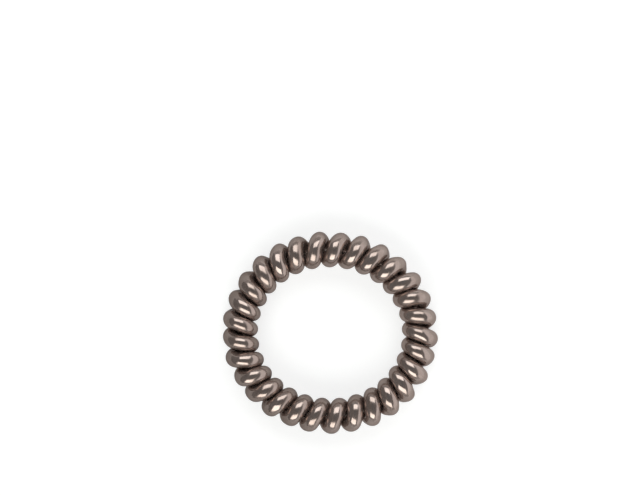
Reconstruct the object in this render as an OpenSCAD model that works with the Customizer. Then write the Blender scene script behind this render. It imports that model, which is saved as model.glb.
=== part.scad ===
// Spiral hair tie: one closed coil of glossy cord, wound round a ring that lies slightly oval.
// It lies flat. The origin is the ring's centre, on the surface that the turns rest on, and +X
// points along the ring's longer way, through the crest of one turn.

/* [Ring] */
// Outside length of the whole tie, relaxed
outer_d = 55; // [40:1:66]
// Outside width, as a share of the length
width_share = 0.94; // [0.85:0.01:1]
// How far the outer crests stray from even spacing, as a share of the room between them
crest_stray = 0.4; // [0:0.05:0.6]

/* [Cord] */
// Thickness of the cord
cord_d = 4.2; // [3:0.1:5]
// Width of the hollow down the middle of the coil
hollow_d = 0.8; // [0.4:0.1:3]
// How much narrower the cord may be pressed where the turns crowd, at the inside of the ring
crowding = 0.1; // [0:0.01:0.12]
// Space left between neighbouring turns where they crowd
turn_gap = 0.05; // [0.02:0.01:0.5]

/* [Hidden] */

// The coil is a helix of radius helix_r whose middle line is bent into an oval of two half widths
coil_d = 2 * cord_d + hollow_d;
long_r = (outer_d - coil_d) / 2;
short_r = (outer_d * width_share - coil_d) / 2;
helix_r = (coil_d - cord_d) / 2;
helix_girth = 2 * PI * helix_r;

// The turns are packed until they press each other at the inside of the oval's tight ends. They lie
// slanted there, so a turn takes up a little more of the ring than it measures straight across.
turn_space = cord_d * (1 - crowding) + turn_gap;
inner_pitch = turn_space / sqrt(1 - pow(turn_space / helix_girth, 2));
turns = floor(2 * PI * inner_speed(0) / inner_pitch);

// Slow waves in the spacing of the outer crests, as a hand has left them.
// Each row: waves round the ring, share of the unevenness, angle that the wave starts at
STRAY_WAVES = [
    [2, 0.07, 23],
    [4, 0.1, 89],
    [6, 0.2, 95],
    [8, 0.43, 177],
    [10, 0.2, 120],
];

// The cord's mesh: flat sides round it, and a whole number of quarter turns along it,
// so that a ring of points falls on each crest and each foot.
cord_sides = 12;
facet_budget = 11500;
coarsest_turn = 8;
rings_per_turn = max(coarsest_turn, 4 * floor(facet_budget / (2 * cord_sides * turns) / 4));
rings = turns * rings_per_turn;

// Unit vector straight up
UP = [0, 0, 1];

function unit(v) = v / norm(v);
function total(v) = v * [for (x = v) 1];

// The oval middle line of the coil at an angle a, its speed per radian, and its way outwards
function oval(a) = [long_r * cos(a), short_r * sin(a), 0];
function oval_speed(a) = norm([long_r * sin(a), short_r * cos(a)]);
function oval_out(a) = unit([short_r * cos(a), long_r * sin(a), 0]);

// Speed of the helix's inner side, and of its crests, where the oval bends by long_r * short_r
// over its speed cubed
function inner_speed(a) = oval_speed(a) - helix_r * long_r * short_r / pow(oval_speed(a), 2);
function crest_speed(a) = oval_speed(a) + helix_r * long_r * short_r / pow(oval_speed(a), 2);

// How much narrower the cord is at angle a, where its turns crowd: no more than it must
function pressed(a) =
    let (
        pitch = inner_speed(a) * 2 * PI / turns,
        space = pitch / sqrt(1 + pow(pitch / helix_girth, 2))
    )
    max(0, 1 - (space - turn_gap) / cord_d);

// How far, in degrees round the ring, the crest at angle a strays. The crests have 2 * helix_r
// more radius to spread over than the crowded feet, and a wave may use its share of that room.
function stray_angle(a) =
    let (room = crest_stray * 2 * helix_r / crest_speed(0) * 180 / PI)
    room * total([for (w = STRAY_WAVES) w[1] / w[0] * cos(w[0] * a + w[2])]);

// How far the cord has wound round the coil's middle line: 0 at a crest, 180 at the inside
function wound(a) = turns * a;

// Angle round the ring of the cord's middle line: the crests stray, and the inside stays even
function cord_angle(a) = a + stray_angle(a) * (1 + cos(wound(a))) / 2;

// Direction from the coil's middle line out to the cord
function outward(a) = cos(wound(a)) * oval_out(cord_angle(a)) + sin(wound(a)) * UP;

// The cord's middle line, raised so that the lowest turns rest at height zero
function cord_centre(a) = oval(cord_angle(a)) + helix_r * outward(a) + coil_d / 2 * UP;

// Direction along the cord, from two points a quarter of a ring step to each side
function along(a) =
    let (step = 90 / rings)
    unit(cord_centre(a + step) - cord_centre(a - step));

// One ring of points round the cord, the first of them furthest from the coil's middle line.
// The cord is narrower sideways at the inside of the ring, and round again at the crests.
function cord_ring(a) =
    let (
        centre = cord_centre(a),
        out = outward(a),
        side = unit(cross(along(a), out)),
        width = 1 - pressed(cord_angle(a)) * pow((1 - cos(wound(a))) / 2, 2)
    )
    [for (k = [0:cord_sides - 1])
        let (turned = 360 * k / cord_sides)
        centre + cord_d / 2 * (cos(turned) * out + width * sin(turned) * side)];

// Triangles between each ring of points and the next, with the last ring joined to the first
function cord_faces() =
    [for (i = [0:rings - 1], k = [0:cord_sides - 1])
        let (
            here = i * cord_sides,
            next = (i + 1) % rings * cord_sides,
            k_next = (k + 1) % cord_sides
        )
        each [
            [here + k, next + k_next, here + k_next],
            [here + k, next + k, next + k_next],
        ]];

// The one piece: a cord wound into a coil, with its two ends joined into an endless ring
module coil() {
    color([0.46, 0.38, 0.34])
        polyhedron(
            points = [for (i = [0:rings - 1]) each cord_ring(360 * i / rings)],
            faces = cord_faces(),
            convexity = 10
        );
}

coil();
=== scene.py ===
"""The looks of a spiral hair tie: a metallised elastic cord, wound into a coil that closes in a ring.

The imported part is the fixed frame. One smooth cord replaces its faceted coil, along the same helix,
and gets a bronze metallised finish. It lies on a pale table in a plain, soft light tent.
"""

import logging
import math
from dataclasses import dataclass
from enum import Enum

import bpy
import numpy as np
from mathutils import Matrix, Vector


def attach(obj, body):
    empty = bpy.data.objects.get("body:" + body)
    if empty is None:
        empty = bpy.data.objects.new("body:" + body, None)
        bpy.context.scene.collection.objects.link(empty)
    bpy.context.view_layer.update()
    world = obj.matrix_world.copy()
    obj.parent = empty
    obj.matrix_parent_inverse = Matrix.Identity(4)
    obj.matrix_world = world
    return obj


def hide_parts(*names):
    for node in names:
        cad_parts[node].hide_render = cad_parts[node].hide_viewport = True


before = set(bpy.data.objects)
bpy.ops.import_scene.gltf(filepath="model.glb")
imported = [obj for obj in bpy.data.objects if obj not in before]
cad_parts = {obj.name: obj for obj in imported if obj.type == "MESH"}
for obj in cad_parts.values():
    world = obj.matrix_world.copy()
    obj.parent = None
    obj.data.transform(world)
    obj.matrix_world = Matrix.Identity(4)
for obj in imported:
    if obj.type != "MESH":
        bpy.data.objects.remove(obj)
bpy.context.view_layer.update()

log = logging.getLogger("spiral_hair_tie")

MM = 0.001
UP = (0.0, 0.0, 1.0)
GRAIN_DETAIL = 2.0

# The mesh's attributes that the finish reads.
LAY = "lay"
TOUCH = "touch"

# What a socket takes: the output of another node, or a value of its own.
Feed = bpy.types.NodeSocket | float | tuple[float, ...] | Vector

# Red, green, blue and opacity.
Colour = tuple[float, float, float, float]


def around(count: int) -> np.ndarray:
    """Evenly spaced angles round a full circle, in radians."""
    return np.linspace(0, 2 * np.pi, count, endpoint=False)


def unit(vectors: np.ndarray) -> np.ndarray:
    """The same directions with length 1."""
    return vectors / np.linalg.norm(vectors, axis=1, keepdims=True)


def grey(level: float) -> Colour:
    """A colour without hue."""
    return (level, level, level, 1.0)


def heading(bearing_deg: float, lean_deg: float) -> Vector:
    """Works out a direction from the object.

    Args:
        bearing_deg: Its bearing round the object, counter-clockwise from +X.
        lean_deg: Its angle with straight up.

    Returns:
        The direction, with length 1.
    """
    bearing = math.radians(bearing_deg)
    lean = math.radians(lean_deg)
    level = math.sin(lean)
    return Vector((level * math.cos(bearing), level * math.sin(bearing), math.cos(lean)))


class Winding(Enum):
    """Which way the cord is wound along the ring, seen from above."""

    LEFT_HANDED = 1
    RIGHT_HANDED = -1


@dataclass(frozen=True)
class StrayWave:
    """One slow wave in the spacing of the coil's outer crests.

    Args:
        count: Waves round the ring.
        share: Share of the unevenness that this wave has.
        start_deg: Angle that the wave starts at.
    """

    count: int
    share: float
    start_deg: float


@dataclass(frozen=True)
class SwellWave:
    """One lengthwise wave in the cord's own thickness.

    Args:
        count: Waves along the whole cord, negative where they wind the other way round it.
        turns_round: How often the wave winds round the cord as it runs along it.
        height: How far the surface swells, in metres.
        start_deg: Angle that the wave starts at.
    """

    count: int
    turns_round: int
    height: float
    start_deg: float


@dataclass
class Graph:
    """Adds nodes to a shader tree and wires them.

    Args:
        tree: The tree to build in.
    """

    tree: bpy.types.NodeTree

    def node(self, kind: str, **settings: object) -> bpy.types.Node:
        """Adds a node.

        Args:
            kind: The node's type, without its ShaderNode prefix.
            **settings: Properties of the node.

        Returns:
            The new node.
        """
        node = self.tree.nodes.new(kind if kind.startswith("NodeGroup") else "ShaderNode" + kind)
        for name, value in settings.items():
            setattr(node, name, value)
        return node

    def feed(self, socket: bpy.types.NodeSocket, value: Feed) -> None:
        """Sets a socket, or links another one to it.

        Args:
            socket: The input.
            value: A number, a tuple, a vector, or the output that drives it.
        """
        if isinstance(value, bpy.types.NodeSocket):
            self.tree.links.new(value, socket)
        else:
            socket.default_value = value

    def math(self, operation: str, *values: Feed) -> bpy.types.NodeSocket:
        """Adds a Math node and returns its value.

        Args:
            operation: What it does.
            *values: Its inputs.

        Returns:
            The result.
        """
        node = self.node("Math", operation=operation)
        for socket, value in zip(node.inputs, values):
            self.feed(socket, value)
        return node.outputs[0]

    def dot(self, first: Feed, second: Feed) -> bpy.types.NodeSocket:
        """The dot product of two vectors.

        Args:
            first: One vector.
            second: The other.

        Returns:
            The product.
        """
        node = self.node("VectorMath", operation="DOT_PRODUCT")
        self.feed(node.inputs[0], first)
        self.feed(node.inputs[1], second)
        return node.outputs["Value"]

    def ramp(self, value: Feed, low: float, high: float, to_low: float = 0.0,
             to_high: float = 1.0) -> bpy.types.NodeSocket:
        """Maps a value smoothly from one range to another.

        Args:
            value: The value to map.
            low: Where the range begins.
            high: Where it ends.
            to_low: What low becomes.
            to_high: What high becomes.

        Returns:
            The mapped value.
        """
        node = self.node("MapRange", interpolation_type="SMOOTHSTEP", clamp=True)
        for name, item in (("Value", value), ("From Min", low), ("From Max", high),
                           ("To Min", to_low), ("To Max", to_high)):
            self.feed(node.inputs[name], item)
        return node.outputs["Result"]

    def mix(self, factor: Feed, first: Feed, second: Feed) -> bpy.types.NodeSocket:
        """Mixes two values.

        Args:
            factor: 0 for the first, 1 for the second.
            first: The first value.
            second: The second value.

        Returns:
            The mixed value.
        """
        node = self.node("Mix", data_type="FLOAT")
        for name, item in (("Factor", factor), ("A", first), ("B", second)):
            self.feed(node.inputs[name], item)
        return node.outputs[0]

    def mix_colour(self, factor: Feed, first: Feed, second: Feed) -> bpy.types.NodeSocket:
        """Mixes two colours.

        Args:
            factor: 0 for the first, 1 for the second.
            first: The first colour.
            second: The second colour.

        Returns:
            The mixed colour.
        """
        node = self.node("Mix", data_type="RGBA")
        self.feed(node.inputs["Factor"], factor)
        for name, item in (("A", first), ("B", second)):
            socket = next(slot for slot in node.inputs if slot.name == name and slot.type == "RGBA")
            self.feed(socket, item)
        return next(slot for slot in node.outputs if slot.type == "RGBA")

    def group(self, tree: bpy.types.NodeTree, **values: Feed) -> bpy.types.Node:
        """Adds a node group.

        Args:
            tree: The group's tree.
            **values: Its inputs, by name, with an underscore for each space.

        Returns:
            The group's node.
        """
        node = self.node("Group", node_tree=tree)
        for name, value in values.items():
            self.feed(node.inputs[name.replace("_", " ")], value)
        return node


def new_group(name: str, inputs: dict[str, str],
              outputs: dict[str, str]) -> tuple[Graph, dict, dict]:
    """Starts a shader node group.

    Args:
        name: The group's name.
        inputs: Name and kind of each input socket.
        outputs: Name and kind of each output socket.

    Returns:
        The group's graph, its inputs as sockets to read, and its outputs as sockets to feed.
    """
    tree = bpy.data.node_groups.new(name, "ShaderNodeTree")
    for direction, sockets in (("INPUT", inputs), ("OUTPUT", outputs)):
        for label, kind in sockets.items():
            tree.interface.new_socket(label, in_out=direction, socket_type="NodeSocket" + kind)
    graph = Graph(tree)
    start = graph.node("NodeGroupInput").outputs
    end = graph.node("NodeGroupOutput").inputs
    given = {label: start[label] for label in inputs}
    result = {label: end[label] for label in outputs}
    return graph, given, result


def fine_grain() -> bpy.types.NodeTree:
    """Builds the group that gives a surface its fine, even grain.

    Returns:
        The group's tree.
    """
    graph, given, result = new_group(
        "fine_grain",
        {"Place": "Vector", "Scale": "Float", "Seed": "Float"},
        {"Height": "Float"},
    )
    grain = graph.node("TexNoise", noise_dimensions="4D")
    graph.feed(grain.inputs["Vector"], given["Place"])
    graph.feed(grain.inputs["W"], given["Seed"])
    graph.feed(grain.inputs["Scale"], given["Scale"])
    grain.inputs["Detail"].default_value = GRAIN_DETAIL
    graph.feed(result["Height"], grain.outputs["Fac"])
    return graph.tree


def grain_height(graph: Graph, grain: bpy.types.NodeTree, place: Feed, scale: float,
                 seed: float) -> bpy.types.NodeSocket:
    """Places the fine_grain group in a graph.

    Args:
        graph: The graph.
        grain: The group's tree.
        place: Place on the object.
        scale: Grains in a metre.
        seed: Choice among the grain's patterns.

    Returns:
        The grain's height, from 0 to 1.
    """
    return graph.group(grain, Place=place, Scale=scale, Seed=seed).outputs["Height"]


@dataclass(frozen=True)
class MetallisedBronze:
    """The cord's finish: elastic plastic under a thin bronze metal coating and a clear lacquer.

    Args:
        tint: Colour that the metal gives what it reflects, where the coating is thick.
        shade: The same, where the coating is thinner.
        rubbed_tint: The same, where neighbouring turns rub.
        edge: What the metal's edges reflect, seen at a slant.
        metal: How much of the plastic the coating covers.
        polish: Roughness where the coating is smooth.
        haze: Roughness where it is hazy.
        scuff: Roughness where neighbouring turns rub.
        lacquer: Strength of the clear layer on top.
        lacquer_roughness: Roughness of the clear layer.
        patch_size: Size of the hazy patches.
        patch_seed: Choice among the grain's patterns, for the patches.
        hazy_to: Level of the patches' grain up to which the coating is hazy.
        smooth_from: Level from which it is smooth.
        thin_to: Level of the patches and streaks up to which the coating is thin.
        thick_from: Level from which it is thick.
        rub_fineness: How many times finer than the patches the grain of the rubbed places is.
        rub_seed: Choice among the grain's patterns, for the rubbed places.
        rub_break: How much their grain breaks them up.
        rub_from: Nearness of the next turn from which the coating begins to be rubbed.
        rub_full: Nearness from which it is rubbed fully.
        peel_size: Size of the lacquer's ripples.
        peel_seed: Choice among the grain's patterns, for the ripples.
        peel_depth: Depth of the lacquer's ripples.
        line_pitch: Distance between the faint lines that the cord was drawn with.
        line_length: Length of such a line.
        line_seed: Choice among the grain's patterns, for the lines.
        line_depth: Depth of such a line.
        streaks: How much the lines thin the coating, next to the hazy patches.
        speck_pitch: Distance between specks of dust.
        speck_top: Radius of a speck's top, as a share of that distance.
        speck_foot: Radius of its foot.
        speck_height: Height of a speck.
    """

    tint: Colour = (0.42, 0.335, 0.303, 1.0)
    shade: Colour = (0.352, 0.272, 0.24, 1.0)
    rubbed_tint: Colour = (0.332, 0.245, 0.214, 1.0)
    edge: Colour = (0.505, 0.43, 0.4, 1.0)
    metal: float = 0.82
    polish: float = 0.1
    haze: float = 0.2
    scuff: float = 0.34
    lacquer: float = 0.3
    lacquer_roughness: float = 0.06
    patch_size: float = 2.6 * MM
    patch_seed: float = 3.0
    hazy_to: float = 0.42
    smooth_from: float = 0.7
    thin_to: float = 0.36
    thick_from: float = 0.62
    rub_fineness: float = 3.2
    rub_seed: float = 8.0
    rub_break: float = 0.9
    rub_from: float = 0.45
    rub_full: float = 0.85
    peel_size: float = 0.55 * MM
    peel_seed: float = 1.0
    peel_depth: float = 0.003 * MM
    line_pitch: float = 0.16 * MM
    line_length: float = 9 * MM
    line_seed: float = 5.0
    line_depth: float = 0.0016 * MM
    streaks: float = 0.3
    speck_pitch: float = 0.9 * MM
    speck_top: float = 0.05
    speck_foot: float = 0.11
    speck_height: float = 0.006 * MM

    def material(self) -> bpy.types.Material:
        """Builds the shader.

        Returns:
            The finished material.
        """
        material = bpy.data.materials.new("metallised_bronze")
        material.use_nodes = True
        graph = Graph(material.node_tree)
        shader = material.node_tree.nodes["Principled BSDF"]
        shader.inputs["Metallic"].default_value = self.metal
        shader.inputs["Specular Tint"].default_value = self.edge
        shader.inputs["Coat Weight"].default_value = self.lacquer
        shader.inputs["Coat Roughness"].default_value = self.lacquer_roughness
        place = graph.node("TexCoord").outputs["Object"]
        lay = graph.node("Attribute", attribute_name=LAY).outputs["Vector"]
        touch = graph.node("Attribute", attribute_name=TOUCH).outputs["Fac"]
        grain = fine_grain()
        patch = grain_height(graph, grain, place, 1 / self.patch_size, self.patch_seed)
        lines = self.drawn_lines(graph, grain, lay)
        rub = self.rubbed(graph, grain, place, touch)
        thick = graph.ramp(graph.mix(self.streaks, patch, lines), self.thin_to, self.thick_from)
        tint = graph.mix_colour(thick, self.shade, self.tint)
        graph.feed(shader.inputs["Base Color"], graph.mix_colour(rub, tint, self.rubbed_tint))
        haze = graph.ramp(patch, self.hazy_to, self.smooth_from, self.haze, self.polish)
        graph.feed(shader.inputs["Roughness"], graph.mix(rub, haze, self.scuff))
        bump = graph.node("Bump")
        bump.inputs["Distance"].default_value = 1.0
        graph.feed(bump.inputs["Height"], self.relief(graph, grain, place, lines))
        graph.feed(shader.inputs["Normal"], bump.outputs["Normal"])
        return material

    def rubbed(self, graph: Graph, grain: bpy.types.NodeTree, place: Feed,
               touch: Feed) -> bpy.types.NodeSocket:
        """Where the coating is rubbed, in broken patches along the lines of touch.

        Args:
            graph: The material's graph.
            grain: The fine_grain group.
            place: Place on the object.
            touch: How near the next turn is, from 0 to 1.

        Returns:
            The mask.
        """
        scale = self.rub_fineness / self.patch_size
        broken = grain_height(graph, grain, place, scale, self.rub_seed)
        reach = graph.math("MULTIPLY_ADD", broken, self.rub_break, -self.rub_break / 2)
        return graph.ramp(graph.math("ADD", touch, reach), self.rub_from, self.rub_full)

    def drawn_lines(self, graph: Graph, grain: bpy.types.NodeTree,
                    lay: Feed) -> bpy.types.NodeSocket:
        """The faint lines along the cord that it was drawn with.

        Args:
            graph: The material's graph.
            grain: The fine_grain group.
            lay: Place round the cord and along it.

        Returns:
            The lines' height, from 0 to 1.
        """
        stretch = graph.node("Mapping", vector_type="POINT")
        graph.feed(stretch.inputs["Vector"], lay)
        across, along = 1 / self.line_pitch, 1 / self.line_length
        stretch.inputs["Scale"].default_value = (across, across, along)
        return grain_height(graph, grain, stretch.outputs["Vector"], 1.0, self.line_seed)

    def relief(self, graph: Graph, grain: bpy.types.NodeTree, place: Feed,
               lines: Feed) -> bpy.types.NodeSocket:
        """The fine relief: ripples of the lacquer, drawn lines and a few specks.

        Args:
            graph: The material's graph.
            grain: The fine_grain group.
            place: Place on the object.
            lines: The drawn lines' height, from 0 to 1.

        Returns:
            The height, in metres.
        """
        peel = grain_height(graph, grain, place, 1 / self.peel_size, self.peel_seed)
        specks = graph.node("TexVoronoi", feature="F1")
        graph.feed(specks.inputs["Vector"], place)
        specks.inputs["Scale"].default_value = 1 / self.speck_pitch
        away = specks.outputs["Distance"]
        speck = graph.ramp(away, self.speck_top, self.speck_foot, self.speck_height, 0.0)
        height = graph.math("MULTIPLY_ADD", peel, self.peel_depth, speck)
        return graph.math("MULTIPLY_ADD", lines, self.line_depth, height)


@dataclass
class CordCoil:
    """The one piece: an endless cord, wound into a helix whose middle line is bent into an oval.

    Args:
        outer_d: Outside length of the whole tie.
        width_share: Outside width, as a share of the length.
        cord_d: Thickness of the cord.
        hollow_d: Width of the hollow down the middle of the coil.
        turn_gap: Space between neighbouring turns where they crowd.
        crowding: How much narrower the cord may be pressed where the turns crowd.
        crest_stray: How far the outer crests stray, as a share of the room between them.
        winding: Which way the cord is wound.
        stray_waves: The waves that the stray is made of.
        swells: The waves in the cord's own thickness.
        inner_swell: Share of the swells that is left where the turns crowd.
        touch_power: How closely the touch of the turns keeps to the cord's flanks.
        rings_per_turn: Rings of points in one turn of the cord.
        sides: Points in each ring.
        cells_across: Turns laid side by side in the surface's flat map.
        cell_margin: Share of a turn's cell in the flat map that stays free at each edge.
    """

    outer_d: float = 55 * MM
    width_share: float = 0.94
    cord_d: float = 4.2 * MM
    hollow_d: float = 0.8 * MM
    turn_gap: float = 0.05 * MM
    crowding: float = 0.1
    crest_stray: float = 0.4
    winding: Winding = Winding.LEFT_HANDED
    stray_waves: tuple[StrayWave, ...] = (
        StrayWave(2, 0.07, 23),
        StrayWave(4, 0.1, 89),
        StrayWave(6, 0.2, 95),
        StrayWave(8, 0.43, 177),
        StrayWave(10, 0.2, 120),
    )
    swells: tuple[SwellWave, ...] = (
        SwellWave(47, 1, 0.1 * MM, 40),
        SwellWave(-62, 2, 0.075 * MM, 200),
        SwellWave(88, 2, 0.05 * MM, 310),
        SwellWave(-131, 3, 0.03 * MM, 75),
        SwellWave(171, 1, 0.026 * MM, 160),
        SwellWave(-223, 2, 0.012 * MM, 15),
    )
    inner_swell: float = 0.12
    touch_power: int = 4
    rings_per_turn: int = 96
    sides: int = 32
    cells_across: int = 5
    cell_margin: float = 0.02

    @property
    def coil_d(self) -> float:
        """Thickness of the coil."""
        return 2 * self.cord_d + self.hollow_d

    @property
    def long_r(self) -> float:
        """Half the oval's length, at the coil's middle line."""
        return (self.outer_d - self.coil_d) / 2

    @property
    def short_r(self) -> float:
        """Half the oval's width, at the coil's middle line."""
        return (self.outer_d * self.width_share - self.coil_d) / 2

    @property
    def helix_r(self) -> float:
        """Radius at which the cord winds round the coil's middle line."""
        return (self.coil_d - self.cord_d) / 2

    @property
    def turns(self) -> int:
        """As many turns as fit at the inside of the oval's tight ends, slanted side by side."""
        space = self.cord_d * (1 - self.crowding) + self.turn_gap
        slant = math.sqrt(1 - (space / (2 * math.pi * self.helix_r)) ** 2)
        return math.floor(2 * math.pi * float(self.speed(np.zeros(1), -1)[0]) * slant / space)

    def speed(self, angle: np.ndarray, side: int = 0) -> np.ndarray:
        """Length of ring that one radian takes up.

        Args:
            angle: Angles round the ring, in radians.
            side: 0 for the coil's middle line, 1 for its crests, -1 for its inside.

        Returns:
            Metres of ring per radian, at each angle.
        """
        middle = np.hypot(self.long_r * np.sin(angle), self.short_r * np.cos(angle))
        return middle + side * self.helix_r * self.long_r * self.short_r / middle**2

    def pressed(self, angle: np.ndarray) -> np.ndarray:
        """How much narrower the cord is where its turns crowd: no more than it must.

        Args:
            angle: Angles round the ring, in radians.

        Returns:
            The share of the cord's thickness that is missing, at each angle.
        """
        pitch = self.speed(angle, -1) * 2 * np.pi / self.turns
        space = pitch / np.sqrt(1 + (pitch / (2 * np.pi * self.helix_r)) ** 2)
        return np.maximum(0, 1 - (space - self.turn_gap) / self.cord_d)

    def wound(self, angle: np.ndarray) -> np.ndarray:
        """How far the cord has wound round the coil's middle line: 0 at a crest, pi at the inside.

        Args:
            angle: Angles round the ring, in radians.

        Returns:
            The cord's own angle, in radians.
        """
        return self.turns * angle

    def crest(self, angle: np.ndarray) -> np.ndarray:
        """How near the cord is to its outer crest, from 0 at the ring's inside to 1."""
        return (1 + np.cos(self.wound(angle))) / 2

    def inside(self, angle: np.ndarray) -> np.ndarray:
        """How near the cord is to the ring's inside, from 0 at its outer crest to 1."""
        return (1 - np.cos(self.wound(angle))) / 2

    def stray(self, angle: np.ndarray) -> np.ndarray:
        """How far the outer crests stray from even spacing.

        Args:
            angle: Angles round the ring, in radians.

        Returns:
            The stray at each angle, in radians round the ring.
        """
        room = self.crest_stray * 2 * self.helix_r / self.speed(np.zeros(1), 1)
        total = np.zeros_like(angle)
        for wave in self.stray_waves:
            phase = wave.count * angle + math.radians(wave.start_deg)
            total += wave.share / wave.count * np.cos(phase)
        return room * total

    def cord_angle(self, angle: np.ndarray) -> np.ndarray:
        """Angle round the ring of the cord's middle line: its crests stray, its inside stays even.

        Args:
            angle: Angles round the ring, in radians.

        Returns:
            The angles that the cord has come to, in radians.
        """
        return angle + self.stray(angle) * self.crest(angle)

    def centre_line(self, angle: np.ndarray) -> tuple[np.ndarray, np.ndarray]:
        """The cord's middle line, and the direction out to it from the coil's middle line.

        Args:
            angle: Angles round the ring, in radians.

        Returns:
            The points, in metres, and the directions out to them.
        """
        phase = self.wound(angle)
        at = self.cord_angle(angle)
        flat = np.zeros_like(at)
        oval = np.stack([self.long_r * np.cos(at), self.short_r * np.sin(at), flat], axis=1)
        away = unit(np.stack([self.short_r * np.cos(at), self.long_r * np.sin(at), flat], axis=1))
        up = np.array(UP)
        outward = np.cos(phase)[:, None] * away
        outward += self.winding.value * np.sin(phase)[:, None] * up
        return oval + self.helix_r * outward + self.coil_d / 2 * up, outward

    def surface(self) -> np.ndarray:
        """The points of the cord's surface, pressed flat where it rests on the floor.

        Returns:
            An array of ring, side and coordinate, in metres.
        """
        angle = around(self.turns * self.rings_per_turn)
        centre, outward = self.centre_line(angle)
        along = unit(np.roll(centre, -1, axis=0) - np.roll(centre, 1, axis=0))
        side = unit(np.cross(along, outward))
        out = np.cross(side, along)
        turned = around(self.sides)
        width = 1 - self.pressed(self.cord_angle(angle)) * self.inside(angle) ** 2
        rim = np.cos(turned)[None, :, None] * out[:, None, :]
        rim += np.sin(turned)[None, :, None] * width[:, None, None] * side[:, None, :]
        radius = self.cord_d / 2 + self.swelling(angle, turned)
        points = centre[:, None, :] + radius[:, :, None] * rim
        points[:, :, 2] = np.maximum(points[:, :, 2], 0.0)
        return points

    def swelling(self, angle: np.ndarray, turned: np.ndarray) -> np.ndarray:
        """How far the cord's surface swells out or falls in, as the moulding left it.

        Args:
            angle: Angles round the ring, in radians.
            turned: Angles round the cord, in radians.

        Returns:
            The swelling of each ring and side, in metres.
        """
        total = np.zeros((len(angle), len(turned)))
        for wave in self.swells:
            phase = wave.count * angle[:, None] + wave.turns_round * turned[None, :]
            total += wave.height * np.cos(phase + math.radians(wave.start_deg))
        crest = self.crest(angle)[:, None]
        return total * (self.inner_swell + (1 - self.inner_swell) * np.sqrt(crest))

    def lay(self, points: np.ndarray) -> np.ndarray:
        """Place of each point round the cord and along it.

        Args:
            points: The points of the surface, by ring and side.

        Returns:
            Two coordinates across the cord and one along it, in metres.
        """
        centre = points.mean(axis=1)
        steps = np.linalg.norm(np.diff(centre, axis=0), axis=1)
        along = np.concatenate([[0.0], np.cumsum(steps)])
        turned = around(self.sides)
        place = np.zeros(points.shape)
        place[:, :, 0] = self.cord_d / 2 * np.cos(turned)[None, :]
        place[:, :, 1] = self.cord_d / 2 * np.sin(turned)[None, :]
        place[:, :, 2] = along[:, None]
        return place

    def touch(self, angle: np.ndarray) -> np.ndarray:
        """How near each point is to the next turn: most at the cord's flanks, inside the ring.

        Args:
            angle: Angles round the ring, in radians.

        Returns:
            The nearness of each ring and side, from 0 to 1.
        """
        flank = np.sin(around(self.sides)) ** self.touch_power
        return flank[None, :] * self.inside(angle)[:, None]

    def flat_map(self, ring: np.ndarray, step: np.ndarray) -> np.ndarray:
        """Lays the surface out flat, with a cell of its own for each turn.

        Args:
            ring: The ring that each face begins at.
            step: The side that each face begins at.

        Returns:
            Two coordinates for each corner of each face.
        """
        rows = math.ceil(self.turns / self.cells_across)
        cell = ring // self.rings_per_turn
        column, row = cell % self.cells_across, cell // self.cells_across
        along = ring % self.rings_per_turn
        used = 1 - 2 * self.cell_margin
        corners = []
        for ahead, over in ((0, 0), (0, 1), (1, 1), (1, 0)):
            u = self.cell_margin + used * (along + ahead) / self.rings_per_turn
            v = self.cell_margin + used * (step + over) / self.sides
            corners.append(np.stack([(column + u) / self.cells_across, (row + v) / rows], axis=1))
        return np.stack(corners, axis=1)

    def build(self) -> bpy.types.Object:
        """Makes the cord's mesh, with its ends joined.

        Returns:
            The cord.
        """
        points = self.surface()
        rings, sides = points.shape[:2]
        ring = np.repeat(np.arange(rings), sides)
        step = np.tile(np.arange(sides), rings)
        next_ring = (ring + 1) % rings
        next_step = (step + 1) % sides
        faces = np.stack(
            [
                ring * sides + step,
                ring * sides + next_step,
                next_ring * sides + next_step,
                next_ring * sides + step,
            ],
            axis=1,
        )
        mesh = bpy.data.meshes.new("cord")
        mesh.from_pydata(points.reshape(-1, 3).tolist(), [], faces.tolist())
        mesh.polygons.foreach_set("use_smooth", [True] * len(mesh.polygons))
        flat = mesh.uv_layers.new(name="OFBake")
        flat.data.foreach_set("uv", self.flat_map(ring, step).ravel())
        lay = mesh.attributes.new(LAY, "FLOAT_VECTOR", "POINT")
        lay.data.foreach_set("vector", self.lay(points).ravel())
        touch = mesh.attributes.new(TOUCH, "FLOAT", "POINT")
        touch.data.foreach_set("value", self.touch(around(rings)).ravel())
        mesh.update()
        cord = bpy.data.objects.new("cord", mesh)
        bpy.context.scene.collection.objects.link(cord)
        return cord

    def dress(self, cord: bpy.types.Object, finish: MetallisedBronze) -> None:
        """Gives the cord its finish, and its place on the frame.

        Args:
            cord: The cord.
            finish: The finish that it gets.
        """
        cord.data.materials.append(finish.material())
        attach(cord, "root")
        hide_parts("coil")


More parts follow.
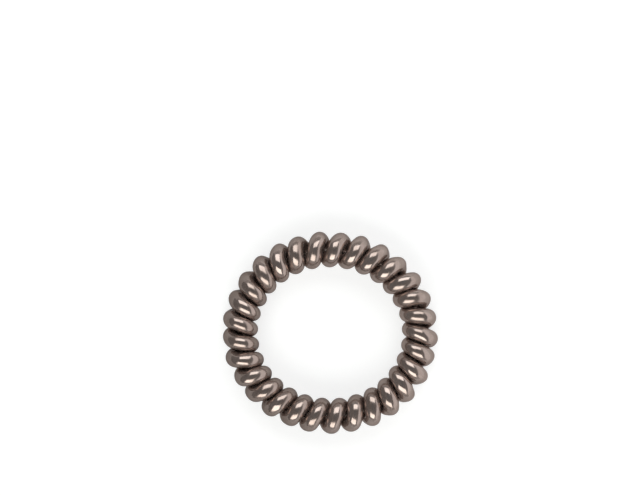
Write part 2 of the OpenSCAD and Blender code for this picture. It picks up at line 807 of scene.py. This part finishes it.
@dataclass
class PhotoCamera:
    """A camera where the photographer stood.

    The camera leans over the ring from its back, so the elevation is counted past the zenith and
    the near side of the ring is at the top of the picture.

    Args:
        azimuth_deg: Angle round the object, from its front.
        elevation_deg: Angle above the floor at the front, past 90 where the camera leans over
            from the back.
        distance: Distance from the ring's centre, in metres.
        picture_w: Width of the picture, in pixels.
        picture_h: Height of the picture, in pixels.
        ring_x: Where the ring's centre lies in the picture, in pixels from the left.
        ring_y: The same, from the top.
        pixels_per_m: Scale of the picture at the ring's centre.
        sensor_w: Width of the camera's sensor, in millimetres.
        clip_ratio: How many times nearer and farther than the ring the camera still sees.
    """

    azimuth_deg: float = 3.0
    elevation_deg: float = 94.0
    distance: float = 0.9
    picture_w: float = 626.0
    picture_h: float = 496.0
    ring_x: float = 330.0
    ring_y: float = 332.9
    pixels_per_m: float = 3927.0
    sensor_w: float = 36.0
    clip_ratio: float = 100.0

    def axes(self) -> Matrix:
        """The camera's directions while it looks straight at the ring's centre.

        Returns:
            A rotation whose columns point right, up and back from the camera.
        """
        azimuth = math.radians(self.azimuth_deg)
        elevation = math.radians(self.elevation_deg)
        right = Vector((math.cos(azimuth), math.sin(azimuth), 0.0))
        back = Vector((
            math.sin(azimuth) * math.cos(elevation),
            -math.cos(azimuth) * math.cos(elevation),
            math.sin(elevation),
        ))
        return Matrix((right, back.cross(right), back)).transposed()

    def aim(self) -> Matrix:
        """The small turn up and to the left that puts the ring where the picture has it.

        Returns:
            The turn, in the camera's own directions.
        """
        focal = self.pixels_per_m * self.distance
        tilt = math.atan((self.ring_y - self.picture_h / 2) / focal)
        pan = math.atan((self.ring_x - self.picture_w / 2) * math.cos(tilt) / focal)
        return Matrix.Rotation(pan, 3, "Y") @ Matrix.Rotation(tilt, 3, "X")

    def build(self, centre: Vector) -> bpy.types.Object:
        """Sets the camera up.

        Args:
            centre: The ring's centre.

        Returns:
            The camera.
        """
        axes = self.axes()
        data = bpy.data.cameras.new("photo_camera")
        data.sensor_width = self.sensor_w
        data.lens = self.pixels_per_m * self.distance * self.sensor_w / self.picture_w
        data.clip_start = self.distance / self.clip_ratio
        data.clip_end = self.distance * self.clip_ratio
        camera = bpy.data.objects.new("photo_camera", data)
        camera.location = centre + axes.col[2] * self.distance
        camera.rotation_euler = (axes @ self.aim()).to_euler()
        bpy.context.scene.collection.objects.link(camera)
        bpy.context.scene.camera = camera
        return camera


@dataclass(frozen=True)
class SoftPanel:
    """A flat light panel of the tent, far from the object.

    Args:
        bearing_deg: Direction round the object, counter-clockwise from +X.
        lean_deg: Angle between the panel's middle and straight up.
        half_w_deg: Half its width along the horizon, as an angle.
        half_h_deg: Half its height, as an angle.
        radiance: How bright it is.
        colour: Colour of its light.
    """

    bearing_deg: float
    lean_deg: float
    half_w_deg: float
    half_h_deg: float
    radiance: float
    colour: tuple[float, float, float] = (1.0, 1.0, 1.0)

    def facing(self) -> Vector:
        """Direction from the object to the panel's middle."""
        return heading(self.bearing_deg, self.lean_deg)

    def across(self) -> Vector:
        """Direction along the panel's width."""
        bearing = math.radians(self.bearing_deg)
        return Vector((-math.sin(bearing), math.cos(bearing), 0.0))

    def light(self) -> Colour:
        """Colour and brightness of its light in one."""
        return tuple(self.radiance * part for part in self.colour) + (1.0,)


@dataclass(frozen=True)
class TentOpening:
    """The round opening in the tent's top, with the dim room behind it.

    Args:
        bearing_deg: Direction round the object, counter-clockwise from +X.
        lean_deg: Angle between the opening's middle and straight up.
        half_deg: Half its width, as an angle.
        edge_deg: Width of its blurred edge, as an angle.
        room: Light that comes in from the room.
    """

    bearing_deg: float = 60.0
    lean_deg: float = 5.0
    half_deg: float = 20.0
    edge_deg: float = 6.0
    room: Colour = (0.085, 0.097, 0.108, 1.0)

    def facing(self) -> Vector:
        """Direction from the object to the opening's middle."""
        return heading(self.bearing_deg, self.lean_deg)

    def edges(self) -> tuple[float, float]:
        """Works out how directly a direction faces the opening at its blurred edge.

        Returns:
            The cosine at the edge's outer side, and the one at its inner side.
        """
        outer = math.cos(math.radians(self.half_deg + self.edge_deg / 2))
        inner = math.cos(math.radians(self.half_deg - self.edge_deg / 2))
        return outer, inner


@dataclass
class LightTent:
    """A lit table inside a soft tent with light panels, and an opening for the camera in its top.

    Args:
        floor_size: Width of the table.
        paper: How white its paper is.
        paper_roughness: Roughness of the paper.
        glow: Light that shines through the paper, where it is looked at straight.
        painted_side_glow: Painted light that the paper throws on the object, unseen by the camera; it
            grows toward the table's brighter side and stands in for a key light falling on that side.
        side_bearing_deg: Direction of that side, counter-clockwise from +X.
        side_reach: How far from the middle the painted side glow is at full strength or gone.
        ceiling: Brightness of the tent's upper walls.
        wall: Brightness of its lower walls.
        ceiling_height: Height of a direction, from 0 to 1, above which the upper walls begin.
        wall_height: Height of a direction below which the lower walls begin.
        panel_edge: Width of the panels' blurred edges, as a share of their distance.
        least_depth: Smallest depth, along the way to a panel, that a direction is divided by.
        least_ahead: Smallest depth at which a direction can still meet a panel.
        panels: The light panels.
        opening: The camera's opening.
    """

    floor_size: float = 3.0
    paper: float = 0.44
    paper_roughness: float = 0.9
    glow: float = 0.68
    painted_side_glow: float = 0.37
    side_bearing_deg: float = 18.0
    side_reach: float = 0.055
    ceiling: float = 0.13
    wall: float = 0.48
    ceiling_height: float = 0.5
    wall_height: float = 0.03
    panel_edge: float = 0.08
    least_depth: float = 0.001
    least_ahead: float = 0.05
    panels: tuple[SoftPanel, ...] = (
        SoftPanel(183.0, 84.0, 50.0, 26.0, 0.15),
        SoftPanel(3.0, 88.0, 58.0, 38.0, 1.04),
        SoftPanel(90.0, 46.0, 28.0, 18.0, 2.7, (0.96, 1.0, 0.99)),
        SoftPanel(259.0, 48.0, 30.0, 18.0, 3.2, (0.97, 0.99, 0.945)),
    )
    opening: TentOpening = TentOpening()

    def panel_mask(self) -> bpy.types.NodeTree:
        """Builds the group that tells whether a direction meets a flat panel.

        Returns:
            The group's tree.
        """
        graph, given, result = new_group(
            "panel_mask",
            {"Direction": "Vector", "Facing": "Vector", "Across": "Vector", "Upward": "Vector",
             "Half Width": "Float", "Half Height": "Float"},
            {"Mask": "Float"},
        )
        ahead = graph.dot(given["Direction"], given["Facing"])
        depth = graph.math("MAXIMUM", ahead, self.least_depth)
        masks = []
        for axis, half in (("Across", "Half Width"), ("Upward", "Half Height")):
            offset = graph.math("ABSOLUTE", graph.dot(given["Direction"], given[axis]))
            offset = graph.math("DIVIDE", offset, depth)
            inside = graph.math("SUBTRACT", given[half], offset)
            masks.append(graph.ramp(inside, -self.panel_edge / 2, self.panel_edge / 2))
        mask = graph.math("MULTIPLY", masks[0], masks[1])
        in_front = graph.math("GREATER_THAN", ahead, self.least_ahead)
        graph.feed(result["Mask"], graph.math("MULTIPLY", mask, in_front))
        return graph.tree

    def light(self) -> bpy.types.World:
        """Builds the tent's walls, panels and opening as the world's light.

        Returns:
            The world.
        """
        world = bpy.data.worlds.new("tent")
        world.use_nodes = True
        graph = Graph(world.node_tree)
        direction = graph.node("TexCoord").outputs["Generated"]
        upper = graph.ramp(graph.dot(direction, UP), self.wall_height, self.ceiling_height)
        light = graph.mix_colour(upper, grey(self.wall), grey(self.ceiling))
        mask_tree = self.panel_mask()
        for panel in self.panels:
            facing, across = panel.facing(), panel.across()
            mask = graph.group(
                mask_tree,
                Direction=direction,
                Facing=facing,
                Across=across,
                Upward=facing.cross(across),
                Half_Width=math.tan(math.radians(panel.half_w_deg)),
                Half_Height=math.tan(math.radians(panel.half_h_deg)),
            ).outputs["Mask"]
            light = graph.mix_colour(mask, light, panel.light())
        toward = graph.dot(direction, self.opening.facing())
        through = graph.ramp(toward, *self.opening.edges())
        light = graph.mix_colour(through, light, self.opening.room)
        graph.feed(world.node_tree.nodes["Background"].inputs["Color"], light)
        return world

    def table(self) -> bpy.types.Material:
        """Builds the table's paper, which the camera sees lit from below, with painted light toward
        one side in what the object sees of it.

        Returns:
            The material.
        """
        material = bpy.data.materials.new("lit_paper")
        material.use_nodes = True
        graph = Graph(material.node_tree)
        shader = material.node_tree.nodes["Principled BSDF"]
        shader.inputs["Base Color"].default_value = grey(self.paper)
        shader.inputs["Roughness"].default_value = self.paper_roughness
        shader.inputs["Emission Color"].default_value = grey(1.0)
        place = graph.node("TexCoord").outputs["Object"]
        # Painted light: unseen by the camera, the paper glows more toward one side, standing in for a
        # key light falling there.
        bearing = math.radians(self.side_bearing_deg)
        across = graph.dot(place, (math.cos(bearing), math.sin(bearing), 0.0))
        painted_side_light = graph.ramp(across, -self.side_reach, self.side_reach, 0.0, self.painted_side_glow)
        seen = graph.node("LightPath").outputs["Is Camera Ray"]
        graph.feed(shader.inputs["Emission Strength"], graph.mix(seen, painted_side_light, self.glow))
        return material

    def build(self) -> None:
        """Lays the floor and lights the tent."""
        half = self.floor_size / 2
        mesh = bpy.data.meshes.new("floor")
        corners = [(-half, -half, 0), (half, -half, 0), (half, half, 0), (-half, half, 0)]
        mesh.from_pydata(corners, [], [(0, 1, 2, 3)])
        floor = bpy.data.objects.new("floor", mesh)
        bpy.context.scene.collection.objects.link(floor)
        mesh.materials.append(self.table())
        bpy.context.scene.world = self.light()
        bpy.context.scene.view_settings.view_transform = "Standard"


def main() -> None:
    """Builds the piece, then its stage and camera."""
    logging.basicConfig(level=logging.INFO, format="%(name)s: %(message)s")
    coil = CordCoil()
    cord = coil.build()
    coil.dress(cord, MetallisedBronze())
    log.info("%s: %d turns, %d faces", cord.name, coil.turns, len(cord.data.polygons))
    LightTent().build()
    PhotoCamera().build(Vector((0, 0, coil.coil_d / 2)))


if __name__ == "__main__":
    main()
